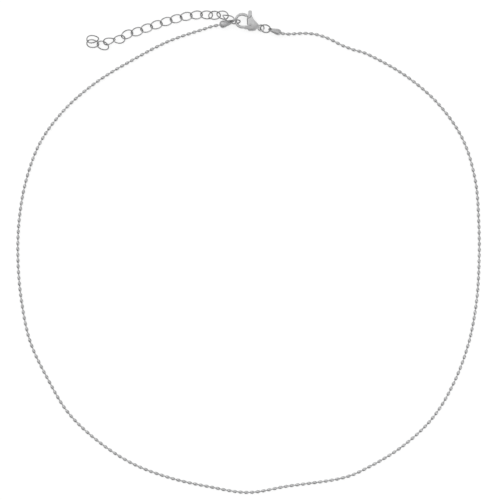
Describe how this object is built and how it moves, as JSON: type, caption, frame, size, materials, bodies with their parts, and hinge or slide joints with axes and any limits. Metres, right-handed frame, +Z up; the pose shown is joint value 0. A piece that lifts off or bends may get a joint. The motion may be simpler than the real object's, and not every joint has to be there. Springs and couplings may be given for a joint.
{
  "type": "ball chain necklace",
  "caption": "Fine ball chain necklace with a lobster clasp, two jump rings, two end caps and a short extender chain, fastened and laid open in a loop.",
  "frame": {"origin": "on the surface that the necklace lies on, under the middle of its bounding box", "axes": "+Z up from that surface; +Y from the front middle of the chain towards the clasp; +X to the right seen from above"},
  "size_m": [0.1417, 0.1474, 0.0033],
  "materials": {
    "chain_steel": "polished, drawn hollow beads",
    "cast_steel": "polished, slightly softened by casting and tumbling",
    "cap_steel": "polished, pressed sheet",
    "wire_steel": "drawn wire, softly polished"
  },
  "bodies": {
    "necklace": {"ball_chain": "chain_steel", "clasp_body": "cast_steel", "clasp_rivet": "cast_steel", "clasp_ring": "wire_steel", "link_ring": "wire_steel", "end_cap_right": "cap_steel", "end_cap_left": "cap_steel", "extender_link_01": "wire_steel", "extender_link_02": "wire_steel", "extender_link_03": "wire_steel", "extender_link_04": "wire_steel", "extender_link_05": "wire_steel", "extender_link_06": "wire_steel", "extender_link_07": "wire_steel", "extender_link_08": "wire_steel", "extender_link_09": "wire_steel", "extender_link_10": "wire_steel", "extender_link_11": "wire_steel", "extender_link_12": "wire_steel", "extender_link_13": "wire_steel", "extender_link_14": "wire_steel", "extender_link_15": "wire_steel", "extender_link_16": "wire_steel", "extender_link_17": "wire_steel"},
    "lever": {"clasp_lever": "cast_steel"}
  },
  "joints": [
    {"name": "lever_hinge", "type": "hinge", "parent": "necklace", "child": "lever", "pos_m": [0.00055, 0.069, 0.0011], "axis": [0, 0, -1], "range_deg": [0, 25], "stiffness_Nm_per_rad": 0.005, "springref_deg": -11.46}
  ]
}
